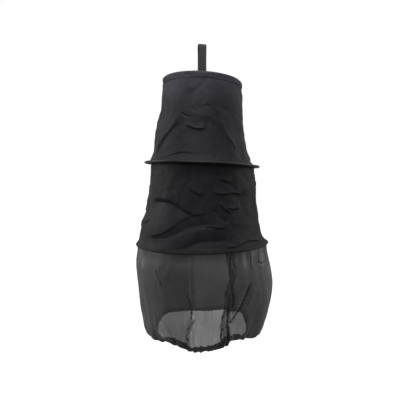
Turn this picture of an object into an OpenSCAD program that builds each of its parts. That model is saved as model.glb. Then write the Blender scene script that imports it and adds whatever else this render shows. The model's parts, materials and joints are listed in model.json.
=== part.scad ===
// A hanging trap bag that folds flat: three cloth sections on spring-wire hoops below a
// crown with a webbing loop, the lowest section a sheer net skirt with an elastic mouth.
// The origin is on the axis of the hook or rod that the loop hangs from, +Z is up,
// the front faces -Y, and every length is in millimetres.

/* [Hanging loop] */
// Width of the webbing
webbing_w = 20; // [15:1:25]
// Thickness of the webbing
webbing_t = 1.6; // [1.2:0.1:2]
// Radius of the rod or hook that fills the eye of the loop
eye_r = 6; // [5:0.5:8]
// Length of the loop, from the hook's axis to the fold at its foot
loop_len = 59; // [45:0.5:80]

/* [Crown] */
// Diameter of the crown over its bound edge
crown_d = 180; // [165:5:195]
// Height that the loop pulls the middle of the crown above its edge
crown_rise = 18; // [12:1:26]
// Slope of the crown's edge across the front, right side lower
crown_tilt = 3; // [0:0.5:3]

/* [Hoops] */
// Diameter of the upper hoop over its channel
upper_hoop_d = 265; // [255:5:275]
// Diameter of the lower hoop over its channel
lower_hoop_d = 305; // [300:5:320]
// Thickness of the spring wire
wire_d = 3; // [2:0.5:3.5]
// Width of the doubled cloth that holds the upper hoop away from the wall
upper_fin_w = 15; // [12:1:16]
// Width of the doubled cloth that holds the lower hoop away from the wall
lower_fin_w = 11; // [9:1:12]
// Slope of the upper hoop across the front, right side lower
upper_tilt = 2.3; // [0:0.1:3]
// Slope of the lower hoop across the front, right side higher
lower_tilt = -1; // [-2:0.1:0]

/* [Sections] */
// Height of the upper cloth section
upper_len = 187; // [180:1:215]
// Height of the middle cloth section
middle_len = 178; // [170:1:205]
// Height of the net skirt
skirt_len = 196; // [185:1:215]
// Thickness of the cloth
cloth_t = 0.8; // [0.6:0.1:1]
// Thickness of the net
net_t = 0.6; // [0.5:0.1:0.8]

/* [Mouth] */
// Diameter of the gathered mouth, along its elastic
mouth_d = 214; // [200:2:230]
// Largest diameter of the net skirt
skirt_d = 307; // [302:1:315]
// Thickness of the elastic cord
elastic_d = 2.5; // [2:0.5:3]
// Slope of the mouth across the front, right side higher
mouth_tilt = -1; // [-3:0.5:0]
// Slope of the mouth from back to front, front lower
mouth_pitch = 4; // [0:0.5:5]

/* [Hidden] */
$fn = 96;

gap = 0.4;              // clearance between pieces that lie against each other
far = 400;              // larger than the whole bag
sink = 0.98;            // share of a circle's radius at which a flank's corner lies
foot_r = 2;             // outer radius of the fold at the loop's foot
fold_room = 1.2;        // room for that fold to turn above the crown
channel_r = 3.3;        // outer radius of a hoop's tunnel
channel_bore = 2.6;     // inner radius of a hoop's tunnel
fin_root_r = 0.9;       // half the thickness of the doubled cloth at the wall
casing_r = 4;           // outer radius of the mouth's gathered casing
casing_bore = 2;        // inner radius of that casing
hem_room = 2;           // from the casing to the end of the skirt above it
plateau_r = 26;         // radius of the flat middle of the crown
patch_r = 22;           // radius of the reinforcement under it
patch_t = 0.8;          // thickness of the reinforcement
tail_len = 34;          // length of the webbing sewn down under the crown, both ends together
stub_t = 2.4;           // thickness of the two webbing ends in the crown's slit
ferrule_t = 0.6;        // wall of the crimped ferrule
crimp_gap = 0.05;       // clearance between the wire and its ferrule
ferrule_len = 30;       // length of the ferrule along the wire
wire_gap = 1;           // space between the two ends of the wire, inside the ferrule
crown_join = -90;       // direction of each wire's joint, staggered so that they don't stack
upper_join = 180;
lower_join = 0;
seam_w = 10;            // width of the felled seam down each section
skirt_seam_turn = 10;   // turn of the skirt's seam from the middle of the back, to the left
thread_d = 0.5;         // thickness of the sewing thread
stitch_len = 2.2;       // length of one stitch
stitch_pitch = 3.2;     // distance from one stitch to the next
bulge_at = 0.4;         // share of the skirt's height at which it is widest

crown_z = -(loop_len + foot_r + fold_room + crown_rise);
upper_z = crown_z - upper_len;
lower_z = upper_z - middle_len;
mouth_z = lower_z - skirt_len;
plateau_z = crown_rise;                     // above the crown's edge plane

crown_hoop_r = crown_d / 2 - channel_r;
upper_hoop_r = upper_hoop_d / 2 - channel_r;
lower_hoop_r = lower_hoop_d / 2 - channel_r;
mouth_r = mouth_d / 2;

upper_root_r = upper_hoop_d / 2 - upper_fin_w;   // where the upper walls meet the flange
lower_root_r = lower_hoop_d / 2 - lower_fin_w;   // where the lower walls meet the flange
crown_edge = crown_hoop_r - channel_r - gap;     // radius at which the crown's cloth ends
fin_room = fin_root_r + 2 * gap;                 // from a hoop's plane to the cloth beside its flange
edge_room = channel_r + gap;                     // from a hoop's plane to a wall that hangs below its tunnel

// Places its children in the plane of a hoop that hangs at height z, right side lower by
// this tilt and front lower by this pitch
module hang(z, tilt, pitch = 0) {
    translate([0, 0, z]) rotate([pitch, tilt, 0]) children();
}

// Everything above (or below) a tilted plane, to trim a wall with
module beyond(z, tilt, above) {
    hang(z, tilt) translate([-far, -far, above ? 0 : -far]) cube([2 * far, 2 * far, far]);
}

// Two circles a distance apart along -X and the straight flanks between them, whose
// corners lie just inside the circles so that flank and circle cross instead of touching
module teardrop(big, small, reach) {
    flank = acos((big - small) / reach);
    up = sink * [-cos(flank), sin(flank)];
    down = sink * [-cos(flank), -sin(flank)];
    end = [-reach, 0];
    circle(r = big);
    translate(end) circle(r = small);
    polygon([big * up, end + small * up, end + small * down, big * down]);
}

// A wall of revolution: a list of [radius, height] down its outside, and its thickness
module shell(outline, thickness) {
    last = len(outline) - 1;
    inside = [for (i = [last:-1:0]) outline[i] - [thickness, 0]];
    rotate_extrude($fn = 180) polygon(concat(outline, inside));
}

// A cloth section that widens evenly from one hoop to the next, trimmed to both their planes
module section(top_r, top_z, top_tilt, top_room, end_r, end_z, end_tilt, end_room, inset = 0) {
    slope = (end_r - top_r) / (top_z - end_z);
    spare = 12;
    outline = [
        [top_r - slope * spare - inset, top_z + spare],
        [end_r + slope * spare - inset, end_z - spare]
    ];
    difference() {
        shell(outline, cloth_t);
        beyond(top_z - top_room, top_tilt, true);
        beyond(end_z + end_room, end_tilt, false);
    }
}

// The strip of its children that a seam covers, down the back or turned from it to the left
module back_strip(turn = 0) {
    intersection() {
        children();
        rotate([0, 0, turn]) translate([-seam_w / 2, 0, mouth_z]) cube([seam_w, far, -mouth_z]);
    }
}

module ring(r, wire) {
    rotate_extrude($fn = 180) translate([r, 0]) circle(r = wire, $fn = 32);
}

// An open ring of wire whose two ends face each other at the joint
module wire_hoop(r, join) {
    open = wire_gap / r * 180 / PI;
    rotate([0, 0, join + open / 2])
        rotate_extrude(angle = 360 - open, $fn = 180) translate([r, 0]) circle(d = wire_d, $fn = 32);
}

// The short tube that is crimped over both ends of the wire
module ferrule(r, join) {
    span = ferrule_len / r * 180 / PI;
    bore = wire_d / 2 + crimp_gap;
    rotate([0, 0, join - span / 2]) rotate_extrude(angle = span, $fn = 180) translate([r, 0])
        difference() {
            circle(r = bore + ferrule_t, $fn = 32);
            circle(r = bore, $fn = 32);
        }
}

// The doubled cloth around a hoop: a flange with a tunnel along its outer edge
module channel(hoop_r, fin_w) {
    reach = fin_w - channel_r - fin_root_r;
    rotate_extrude($fn = 180) translate([hoop_r, 0]) difference() {
        teardrop(channel_r, fin_root_r, reach);
        circle(r = channel_bore, $fn = 32);
    }
}

// A row of stitches from one point to another, on the plane z = 0
module stitches(from, to) {
    run = to - from;
    count = floor(norm(run) / stitch_pitch);
    for (i = [0:count - 1])
        translate(from + run * (i + 0.5) / count)
            rotate([0, 0, atan2(run.y, run.x)])
                translate([-stitch_len / 2, -thread_d / 2, 0])
                    cube([stitch_len, thread_d, thread_d]);
}

module hanging_loop() {
    color("#2b2b2d") translate([webbing_w / 2, 0, 0]) rotate([0, -90, 0])
        linear_extrude(webbing_w) difference() {
            teardrop(eye_r + webbing_t, foot_r, loop_len);
            teardrop(eye_r, foot_r - webbing_t, loop_len);
        }
}

// The ends of the webbing come through the crown's slit and spread flat under it
module loop_tails() {
    under = plateau_z - cloth_t - gap;
    color("#2b2b2d") hang(crown_z, crown_tilt) {
        translate([-webbing_w / 2, -tail_len / 2, under - webbing_t])
            cube([webbing_w, tail_len, webbing_t]);
        translate([-webbing_w / 2, -stub_t / 2, under - webbing_t])
            cube([webbing_w, stub_t, webbing_t + gap + cloth_t]);
    }
}

// A box of stitches with a cross in it, on either side of the loop's foot
module box_stitch() {
    half = webbing_w / 2 - 1.5;
    near = 4;
    end = tail_len / 2 - 2;
    color("#3a3a3c") hang(crown_z, crown_tilt) translate([0, 0, plateau_z])
        for (side = [-1, 1]) {
            stitches([-half, side * near], [half, side * near]);
            stitches([-half, side * end], [half, side * end]);
            for (x = [-half, half])
                stitches([x, side * (near + 1)], [x, side * (end - 1)]);
        }
}

module crown_panel() {
    outline = [
        [0, plateau_z], [plateau_r, plateau_z], [crown_edge, 0],
        [crown_edge, -cloth_t], [plateau_r, plateau_z - cloth_t], [0, plateau_z - cloth_t]
    ];
    slit = [webbing_w + 2 * gap, stub_t + 2 * gap, 10];
    color("#26262a") hang(crown_z, crown_tilt) difference() {
        rotate_extrude($fn = 180) polygon(outline);
        translate([0, 0, plateau_z]) cube(slit, center = true);
    }
}

module crown_patch() {
    under = plateau_z - cloth_t - 2 * gap - webbing_t;
    color("#222224") hang(crown_z, crown_tilt)
        translate([0, 0, under - patch_t]) cylinder(r = patch_r, h = patch_t);
}

module crown_binding() {
    color("#1f1f21") hang(crown_z, crown_tilt) difference() {
        ring(crown_hoop_r, channel_r);
        ring(crown_hoop_r, channel_bore);
    }
}

module crown_hoop() {
    color("#9a9ea3") hang(crown_z, crown_tilt) wire_hoop(crown_hoop_r, crown_join);
}

module crown_ferrule() {
    color("#b9bcc0") hang(crown_z, crown_tilt) ferrule(crown_hoop_r, crown_join);
}

module upper_wall(inset) {
    section(
        crown_d / 2 - 1, crown_z, crown_tilt, edge_room,
        upper_root_r + 1, upper_z, upper_tilt, fin_room, inset
    );
}

module upper_panel() {
    color("#26262a") upper_wall(0);
}

module upper_seam() {
    color("#1f1f21") back_strip() upper_wall(cloth_t + gap);
}

module upper_channel() {
    color("#1f1f21") hang(upper_z, upper_tilt) channel(upper_hoop_r, upper_fin_w);
}

module upper_hoop() {
    color("#9a9ea3") hang(upper_z, upper_tilt) wire_hoop(upper_hoop_r, upper_join);
}

module upper_ferrule() {
    color("#b9bcc0") hang(upper_z, upper_tilt) ferrule(upper_hoop_r, upper_join);
}

module middle_wall(inset) {
    section(
        upper_root_r + 3, upper_z, upper_tilt, fin_room,
        lower_root_r + 1, lower_z, lower_tilt, fin_room, inset
    );
}

module middle_panel() {
    color("#1b1b1e") middle_wall(0);
}

module middle_seam() {
    color("#1f1f21") back_strip() middle_wall(cloth_t + gap);
}

module lower_channel() {
    color("#1f1f21") hang(lower_z, lower_tilt) channel(lower_hoop_r, lower_fin_w);
}

module lower_hoop() {
    color("#9a9ea3") hang(lower_z, lower_tilt) wire_hoop(lower_hoop_r, lower_join);
}

module lower_ferrule() {
    color("#b9bcc0") hang(lower_z, lower_tilt) ferrule(lower_hoop_r, lower_join);
}

// Radius of the skirt at a share of its height: it swells below the hoop, then rounds in
function skirt_r(share) =
    let (top_r = lower_root_r + 4, widest = skirt_d / 2, end_r = mouth_r + casing_r + hem_room)
    share < bulge_at
        ? widest - (widest - top_r) * pow(1 - share / bulge_at, 4)
        : end_r + (widest - end_r) * sqrt(1 - pow((share - bulge_at) / (1 - bulge_at), 2));

module skirt_wall(inset) {
    steps = 20;
    outline = concat(
        [[skirt_r(0) - inset, lower_z + 6]],
        [for (i = [0:steps]) let (s = sin(90 * i / steps)) [skirt_r(s) - inset, lower_z - s * skirt_len]]
    );
    difference() {
        shell(outline, net_t);
        beyond(lower_z - edge_room, lower_tilt, true);
    }
}

module mesh_skirt() {
    color("#4a4a4e", 0.6) skirt_wall(0);
}

module skirt_seam() {
    color("#2c2c30") back_strip(skirt_seam_turn) skirt_wall(net_t + gap);
}

module hem_casing() {
    color("#303034") hang(mouth_z, mouth_tilt, mouth_pitch) difference() {
        ring(mouth_r, casing_r);
        ring(mouth_r, casing_bore);
    }
}

module hem_elastic() {
    color("#101010") hang(mouth_z, mouth_tilt, mouth_pitch) ring(mouth_r, elastic_d / 2);
}

hanging_loop();
loop_tails();
box_stitch();
crown_panel();
crown_patch();
crown_binding();
crown_hoop();
crown_ferrule();
upper_panel();
upper_seam();
upper_channel();
upper_hoop();
upper_ferrule();
middle_panel();
middle_seam();
lower_channel();
lower_hoop();
lower_ferrule();
mesh_skirt();
skirt_seam();
hem_casing();
hem_elastic();
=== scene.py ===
"""A folding hoop trap hanging from its webbing loop: cloth, net, webbing and thread round its frame.

The wall of each section is a grid of points, rows down from one hoop to the next and columns
round the bag. It hangs by cloth simulation, is refined, and takes its creases afterwards.
Turns round the bag are in degrees from the front, positive to the bag's right (+X).
"""
import json
import math

import bpy
import numpy as np
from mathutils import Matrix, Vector


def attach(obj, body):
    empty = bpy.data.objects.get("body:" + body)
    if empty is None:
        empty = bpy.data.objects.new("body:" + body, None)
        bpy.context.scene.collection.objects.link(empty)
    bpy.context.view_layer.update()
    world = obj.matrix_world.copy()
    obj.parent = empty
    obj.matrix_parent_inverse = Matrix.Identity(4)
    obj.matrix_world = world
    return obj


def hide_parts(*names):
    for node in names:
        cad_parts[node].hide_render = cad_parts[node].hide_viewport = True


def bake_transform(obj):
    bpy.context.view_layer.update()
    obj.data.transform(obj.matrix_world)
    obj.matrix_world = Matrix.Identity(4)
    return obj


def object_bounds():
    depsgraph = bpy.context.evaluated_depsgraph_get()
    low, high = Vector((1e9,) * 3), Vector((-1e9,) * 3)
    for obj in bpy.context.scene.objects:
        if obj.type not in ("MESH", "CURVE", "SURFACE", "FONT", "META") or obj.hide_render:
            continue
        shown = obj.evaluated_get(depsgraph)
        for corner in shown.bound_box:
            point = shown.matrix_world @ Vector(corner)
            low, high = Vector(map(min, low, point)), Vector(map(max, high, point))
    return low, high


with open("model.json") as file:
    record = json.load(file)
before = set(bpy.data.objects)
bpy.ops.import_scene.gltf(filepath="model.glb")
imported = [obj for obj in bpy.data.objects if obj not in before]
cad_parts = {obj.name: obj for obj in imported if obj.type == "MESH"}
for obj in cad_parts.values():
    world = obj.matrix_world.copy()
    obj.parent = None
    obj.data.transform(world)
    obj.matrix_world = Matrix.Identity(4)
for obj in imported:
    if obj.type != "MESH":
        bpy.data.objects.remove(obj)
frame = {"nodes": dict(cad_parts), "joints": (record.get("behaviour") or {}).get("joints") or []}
cad_low, cad_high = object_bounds()
MM = 0.001
WHITE = (1, 1, 1, 1)

# ---- the frame's own places


def node_points(node):
    mesh = frame["nodes"][node].data
    points = np.empty(len(mesh.vertices) * 3)
    mesh.vertices.foreach_get("co", points)
    return points.reshape(-1, 3)


class Hoop:
    """A hoop's centreline: its radius, and the plane that it lies in."""

    def __init__(self, node, thickness):
        points = node_points(node)
        flat = np.c_[points[:, :2], np.ones(len(points))]
        (self.slope, self.pitch, self.height), *_ = np.linalg.lstsq(flat, points[:, 2], rcond=None)
        self.radius = np.ptp(points[:, 0]) / 2 - thickness / 2

    def at(self, turn, radius):
        """The plane's height at that turn and radius."""
        return self.height + radius * (self.slope * np.sin(turn) - self.pitch * np.cos(turn))


WIRE = 3 * MM
crown_hoop = Hoop("crown_hoop", WIRE)
upper_hoop = Hoop("upper_hoop", WIRE)
lower_hoop = Hoop("lower_hoop", WIRE)
mouth = Hoop("hem_elastic", 2.5 * MM)

WEBBING_WIDTH = 20 * MM
WEBBING_THICK = 1.6 * MM
RIB_PITCH = 1.5 * MM            # of the webbing's cross ribs
fold_height = frame["joints"][0]["pos_m"][2]      # the foot of the hanging loop
plateau = float(node_points("crown_panel")[:, 2].max())

# ---- grids of points


def turns(columns):
    """The turn of each column, from the seam at the back round the front to the seam again."""
    return np.arange(columns) * (2 * math.pi / columns) - math.pi


def place(turn, radius, height):
    return np.stack([radius * np.sin(turn), -radius * np.cos(turn), height], -1)


def outward(turn):
    return place(turn, np.ones_like(turn), np.zeros_like(turn))


def lattice(shares, columns):
    """The turn of every point of a grid, and its share of the way down, with rows at those shares."""
    turn = turns(columns)[None, :] + np.zeros((len(shares), 1))
    return turn, shares[:, None] + np.zeros((1, columns))


def bell(value, centre, width):
    return np.exp(-((value - centre) / width) ** 2)


def smooth(value):
    value = np.clip(value, 0, 1)
    return value * value * (3 - 2 * value)


def catmull(before, start, end, after, share):
    """Points on the curve from start to end at that share of the way."""
    return 0.5 * (2 * start + share * (end - before)
                  + share ** 2 * (2 * before - 5 * start + 4 * end - after)
                  + share ** 3 * (3 * start - 3 * end + after - before))


def refine(grid, by):
    """The same surface with `by` times the rows and columns, through smooth curves."""
    rows, columns = grid.shape[:2]
    wide = np.empty((rows, columns * by, 3))
    for k in range(by):
        wide[:, k::by] = catmull(np.roll(grid, 1, 1), grid, np.roll(grid, -1, 1),
                                 np.roll(grid, -2, 1), k / by)
    above = np.concatenate([2 * wide[:1] - wide[1:2], wide[:-2]])
    below = np.concatenate([wide[2:], 2 * wide[-1:] - wide[-2:-1]])
    tall = np.empty(((rows - 1) * by + 1, columns * by, 3))
    for k in range(by):
        tall[k:-1:by] = catmull(above, wide[:-1], wide[1:], below, k / by)
    tall[-1] = wide[-1]
    return tall


def put(name, data):
    """A new object in the scene."""
    thing = bpy.data.objects.new(name, data)
    bpy.context.scene.collection.objects.link(thing)
    return thing


def new_piece(name, points, faces, material=None):
    mesh = bpy.data.meshes.new(name)
    mesh.from_pydata(points, [], faces)
    mesh.polygons.foreach_set("use_smooth", [True] * len(faces))
    if material:
        mesh.materials.append(material)
    return put(name, mesh)


def mesh_of(name, grid, closed=True, size=(1.0, 1.0), material=None, thickness=0.0,
            both_closed=False):
    """A mesh from a grid. closed joins its last column to its first, and both_closed its last row
    to its first too. size is what its UVs span, in metres."""
    rows, columns = grid.shape[:2]
    last = columns if closed else columns - 1
    row_count = rows if both_closed else rows - 1
    i, j = np.meshgrid(np.arange(row_count), np.arange(last), indexing="ij")
    i, j = i.ravel(), j.ravel()
    i2, j2 = (i + 1) % rows, (j + 1) % columns
    faces = np.stack([i * columns + j, i * columns + j2, i2 * columns + j2, i2 * columns + j], -1)
    piece = new_piece(name, grid.reshape(-1, 3).tolist(), faces[:, ::-1].tolist(), material)
    layer = piece.data.uv_layers.new(name="metres")
    u = np.stack([j, j + 1, j + 1, j], -1)[:, ::-1] / last * size[0]
    v = np.stack([i, i, i + 1, i + 1], -1)[:, ::-1] / row_count * size[1]
    layer.data.foreach_set("uv", np.stack([u, v], -1).ravel().astype(np.float32))
    if thickness:
        wall = piece.modifiers.new("thickness", "SOLIDIFY")
        wall.thickness = thickness
        wall.offset = -1
    return piece


SMOOTHINGS = 5


def settle(grid, loose, frames, limit, held_rows=1, stiff=0.4):
    """Lets a wall hang as cloth with its end rows held: it has `loose` more cloth than it needs
    each way, and no point moves further than `limit`. Its narrow even pleats are smoothed away."""
    piece = mesh_of("settling", grid)
    rows, columns = grid.shape[:2]
    last_held = (rows - held_rows) * columns
    held = [*range(columns * held_rows), *range(last_held, rows * columns)]
    piece.vertex_groups.new(name="held").add(held, 1.0, "REPLACE")
    cloth = piece.modifiers.new("cloth", "CLOTH")
    cloth.point_cache.frame_start = 1
    cloth.point_cache.frame_end = frames
    for key, value in (("vertex_group_mass", "held"), ("quality", 7), ("mass", 0.15),
                       ("tension_stiffness", 12), ("compression_stiffness", 12),
                       ("shear_stiffness", 4), ("bending_stiffness", stiff),
                       ("shrink_min", -loose), ("air_damping", 3)):
        setattr(cloth.settings, key, value)
    scene = bpy.context.scene
    for step in range(1, frames + 1):
        scene.frame_set(step)
    hung = piece.evaluated_get(bpy.context.evaluated_depsgraph_get()).data
    points = np.empty(len(hung.vertices) * 3)
    hung.vertices.foreach_get("co", points)
    move = points.reshape(grid.shape) - grid
    for _ in range(SMOOTHINGS):
        move = (np.roll(move, 1, 1) + 2 * move + np.roll(move, -1, 1)) / 4
        move[1:-1] = (move[:-2] + 2 * move[1:-1] + move[2:]) / 4
    far = np.linalg.norm(move, axis=-1, keepdims=True)
    move *= limit * np.tanh(far / limit) / np.maximum(far, 1e-9)
    bpy.data.objects.remove(piece)
    scene.frame_set(1)
    return grid + move


# ---- creases


class Wall:
    """Where each point of a grid lies, its turn in degrees and its share of the way down, and how
    far out its creases move it. Lines and places are (turn, share); folds are in millimetres."""

    def __init__(self, grid, radius, drop):
        turn, self.share = lattice(np.linspace(0, 1, len(grid)), grid.shape[1])
        self.turn = np.degrees(turn)
        self.radius, self.drop = radius, drop
        self.depth = np.zeros(turn.shape)

    def across(self, turn):
        """Metres round the wall from that turn, the short way."""
        return np.radians((self.turn - turn + 180) % 360 - 180) * self.radius

    def down(self, share):
        return (self.share - share) * self.drop

    def line(self, start, end, wander=0.04):
        """For a line from start to end: how far below it each point lies, and a taper that is 1
        along the line and 0 past its ends."""
        run = Vector((np.radians(end[0] - start[0]) * self.radius, (end[1] - start[1]) * self.drop))
        along = run.normalized()
        a, b = self.across(start[0]), self.down(start[1])
        share = (a * along[0] + b * along[1]) / run.length
        side = b * along[0] - a * along[1]
        side = side - wander * run.length * np.sin(share * 6 + start[0])
        return side, smooth(share * 5 + 0.5) * smooth((1 - share) * 5 + 0.5)

    def crease(self, start, end, depth, width, lip=0.25):
        """A sharp valley from start to end, with low soft lips."""
        side, taper = self.line(start, end)
        depth, width = depth * MM, width * MM
        valley = np.exp(-np.abs(side / width) ** 1.3)
        ridge = np.exp(-((np.abs(side) - 2.2 * width) / (1.6 * width)) ** 2)
        self.depth += taper * depth * (lip * ridge - valley)

    def tuck(self, start, end, out, reach, drop=1.6):
        """Cloth that swells out towards a line and drops back sharply past it, as over a fold. The
        swelling lies above a line that runs to the right, and to the right of one that runs down."""
        side, taper = self.line(start, end)
        past = np.exp(-np.clip(side / (drop * MM), 0, 9) ** 2)
        self.depth += taper * (out * MM) * np.where(side < 0, np.exp(side / (reach * MM)), past)

    def facets(self, seed, cell, depth, stretch=1.0, lean=0.0):
        """Flat-sided crumples: cells about that wide with a sharp ridge between one and the next,
        or a sharp valley where depth is below 0. They are longer by stretch in one direction."""
        cell, depth, sharp = cell * MM, depth * MM, 14
        draw = np.random.default_rng(seed)
        width = 2 * math.pi * self.radius
        count = int(width * self.drop / cell ** 2)
        waver = 2 * np.sin(self.down(0) / (1.1 * cell))
        bend = 0.35 * cell * np.sin(self.across(0) / (0.9 * cell) + waver)
        total = np.zeros(self.depth.shape)
        for _ in range(count):
            turn, share = draw.uniform(-180, 180), draw.uniform(-0.1, 1.1)
            lift = draw.uniform(0, 0.5)
            a, b = self.across(turn) + bend, self.down(share) + 0.5 * bend
            long = (a * math.cos(lean) + b * math.sin(lean)) / (cell * stretch)
            wide = (b * math.cos(lean) - a * math.sin(lean)) / cell * stretch
            total += np.exp(-sharp * (np.minimum(long ** 2 + wide ** 2, 40) + lift))
        nearest = -np.log(total + 1e-30) / sharp
        self.depth += depth * (np.clip(nearest, 0, 2.5) - 0.55)

    def swell(self, turn, share, out, wide, tall):
        """A soft bulge, or with out below 0 a soft hollow."""
        across, down = self.across(turn) / (wide * MM), self.down(share) / (tall * MM)
        self.depth += out * MM * np.exp(-across ** 2 - down ** 2)

    def lap(self, turn, half_width, lift):
        """The doubled strip of a felled seam that runs down the wall."""
        self.depth += lift * (1 - smooth((np.abs(self.across(turn)) - half_width) / (1.2 * MM)))

    def scatter(self, seed, count):
        """Short folds on the sides and the back, at any slant."""
        draw = np.random.default_rng(seed)
        for _ in range(count):
            turn, share = draw.uniform(64, 296), draw.uniform(0.18, 0.86)
            half, slant = draw.uniform(6, 16), draw.normal() * 0.10
            start, end = (turn - half, share - slant), (turn + half, share + slant)
            if draw.random() < 0.3:
                start, end = end, start
            self.tuck(start, end, draw.uniform(1.6, 3.4), draw.uniform(7, 13))

    def fold(self, folds):
        """Makes folds of (kind, start, end, sizes...) in turn."""
        for kind, *sizes in folds:
            getattr(self, kind)(*sizes)

    def fade(self, top, bottom):
        """Keeps the creases off the ends, over these shares."""
        self.depth *= smooth(self.share / top) * smooth((1 - self.share) / bottom)

    def applied(self, grid):
        turn = np.radians(self.turn)
        return grid + outward(turn) * self.depth[..., None]


# ---- materials


def times(colour, factor):
    return tuple(c * factor for c in colour)


class Shader:
    """A node material or world, with a short way to add a node and feed its sockets."""

    def __init__(self, owner):
        self.owner = owner
        owner.use_nodes = True
        self.tree = owner.node_tree
        self.tree.nodes.clear()

    def add(self, kind, sockets=None, **settings):
        node = self.tree.nodes.new("ShaderNode" + kind)
        for key, value in settings.items():
            setattr(node, key, value)
        for key, value in (sockets or {}).items():
            if isinstance(value, bpy.types.NodeSocket):
                self.tree.links.new(value, node.inputs[key])
            else:
                node.inputs[key].default_value = value
        return node

    def math(self, operation, a, b=0.0):
        return self.add("Math", {0: a, 1: b}, operation=operation).outputs[0]

    def mul(self, a, b):
        return self.math("MULTIPLY", a, b)

    def plus(self, a, b):
        return self.math("ADD", a, b)

    def blend(self, share, low, high):
        """A colour from low to high."""
        node = self.add("Mix", {"Factor": share}, data_type="RGBA")
        for socket, value in ((node.inputs[6], low), (node.inputs[7], high)):
            if isinstance(value, bpy.types.NodeSocket):
                self.tree.links.new(value, socket)
            else:
                socket.default_value = (*value, 1)
        return node.outputs[2]

    def noise(self, where, scale, detail=3.0, rough=0.55):
        return self.add("TexNoise", {"Vector": where, "Scale": scale, "Detail": detail,
                                     "Roughness": rough}).outputs["Fac"]

    def spot(self):
        return self.add("TexCoord").outputs["Object"]

    def uv(self):
        return self.add("UVMap", uv_map="metres").outputs[0]

    def stretched(self, uv, across, along):
        return self.add("Mapping", {"Vector": uv, "Scale": (across, along, 1)}).outputs[0]

    def remap(self, value, start, end, low=0.0, high=1.0, **settings):
        """low where value is start, high where it is end, and clamped outside."""
        sockets = {"Value": value, 1: start, 2: end, 3: low, 4: high}
        return self.add("MapRange", sockets, **settings).outputs[0]

    def weave(self, uv, pitch):
        """Over-and-under threads of a plain weave: -1 to 1."""
        part = self.add("SeparateXYZ", {0: uv})
        waves = [self.math("SINE", self.mul(part.outputs[k], math.pi / pitch))
                 for k in (0, 1)]
        return self.mul(*waves)

    def principled(self, colour, roughness, normal, **settings):
        """Ends the material with that surface. settings are other sockets, with _ for a space."""
        sockets = {"Base Color": colour, "Roughness": roughness, "Normal": normal}
        sockets.update((key.replace("_", " "), value) for key, value in settings.items())
        return self.add("BsdfPrincipled", sockets).outputs[0]

    def finish(self, surface, kind="OutputMaterial"):
        self.add(kind, {"Surface": surface})
        return self.owner

    def bump(self, height, distance, strength=1.0, normal=None):
        sockets = {"Height": height, "Distance": distance, "Strength": strength}
        if normal:
            sockets["Normal"] = normal
        return self.add("Bump", sockets).outputs[0]


def material_shader(name):
    return Shader(bpy.data.materials.new(name))


def cloth_material(name, colour, pitch=0.45 * MM, sheen=0.25, rough=0.62, crush=0.9 * MM,
                   painted_light_by_height=None):
    """Plain-woven synthetic cloth: threads, slubs, the fine crush of a bag that is folded up, and
    colour that is rubbed lighter in random patches. painted_light_by_height is (low z, high z,
    factor): painted light and shade, the colour going to that many times itself between those
    heights."""
    s = material_shader(name)
    spot = s.spot()
    uv = s.uv()
    over = s.weave(uv, pitch)
    slub = s.noise(s.stretched(uv, 250, 2600), 1.0, 2.0)
    creased = s.noise(spot, 70.0, 5.0, 0.62)
    patch = s.noise(spot, 9.0, 3.0)
    shade = s.plus(s.mul(patch, 0.75), s.mul(slub, 0.25))
    dark, light = times(colour, 0.8), times(colour, 1.35)
    tint = s.blend(s.remap(shade, 0.3, 0.7), dark, light)
    tint = s.blend(s.math("MULTIPLY_ADD", over, 0.12), tint, light)
    # Painted light and shade: the colour brightens with height, as if lit from above, along an uneven
    # edge.
    if painted_light_by_height:
        height = s.add("SeparateXYZ", {0: spot}).outputs[2]
        uneven = s.math("SUBTRACT", s.noise(spot, 14.0, 4.0), 0.5)
        height = s.plus(height, s.mul(uneven, 0.05))
        painted_light_share = s.remap(height, painted_light_by_height[0], painted_light_by_height[1], interpolation_type="SMOOTHSTEP")
        tint = s.blend(painted_light_share, tint, times(colour, painted_light_by_height[2]))
    normal = s.bump(creased, crush)
    normal = s.bump(over, 0.05 * MM, 0.7, normal)
    roughness = s.remap(shade, 0.3, 0.7, rough + 0.08, rough - 0.08)
    return s.finish(s.principled(tint, roughness, normal, Sheen_Weight=sheen,
                                 Sheen_Roughness=0.35, Specular_IOR_Level=0.28))


def net_material(name, colour, clear, pitch=0.9 * MM):
    """Sheer net: threads with see-through gaps, so that one layer lets `clear` of the light by, and
    less where the net is gathered. The same attribute also paints the threads: painted shade where it
    is high, and a painted highlight on one thin layer where it is below 0."""
    s = material_shader(name)
    spot = s.spot()
    uv = s.uv()
    over = s.weave(uv, pitch)
    uneven = s.noise(spot, 24.0, 4.0)
    gathered = s.add("Attribute", attribute_name="gathered").outputs["Fac"]
    open_share = s.plus(s.mul(over, 0.35 * clear),
                        s.remap(uneven, 0.3, 0.7, 0.85 * clear, 1.15 * clear))
    streaks = s.noise(s.stretched(uv, 420, 14), 1.0, 3.0)
    streaks = s.remap(streaks, 0.3, 0.7, 0.82, 1.18)
    open_share = s.mul(s.mul(open_share, streaks), s.math("SUBTRACT", 1.0, gathered))
    tint = s.blend(uneven, times(colour, 0.8), times(colour, 1.2))
    # Painted shade: the threads darken towards 0.15 of their colour as the gathering attribute rises.
    tint = s.blend(gathered, tint, times(colour, 0.15))
    # Painted highlight: where the gathering attribute is below 0, the threads lighten towards pale
    # grey.
    painted_thin_highlight = s.remap(gathered, -0.1, -1.6)
    tint = s.blend(painted_thin_highlight, tint, (0.17, 0.17, 0.18))
    normal = s.bump(over, 0.08 * MM, 0.6, s.bump(s.noise(spot, 60.0, 4.0), 0.5 * MM))
    threads = s.principled(tint, 0.5, normal, Sheen_Weight=0.3, Specular_IOR_Level=0.4)
    gaps = s.add("BsdfTransparent", {"Color": WHITE}).outputs[0]
    return s.finish(s.add("MixShader", {0: open_share, 1: threads, 2: gaps}).outputs[0])


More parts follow.
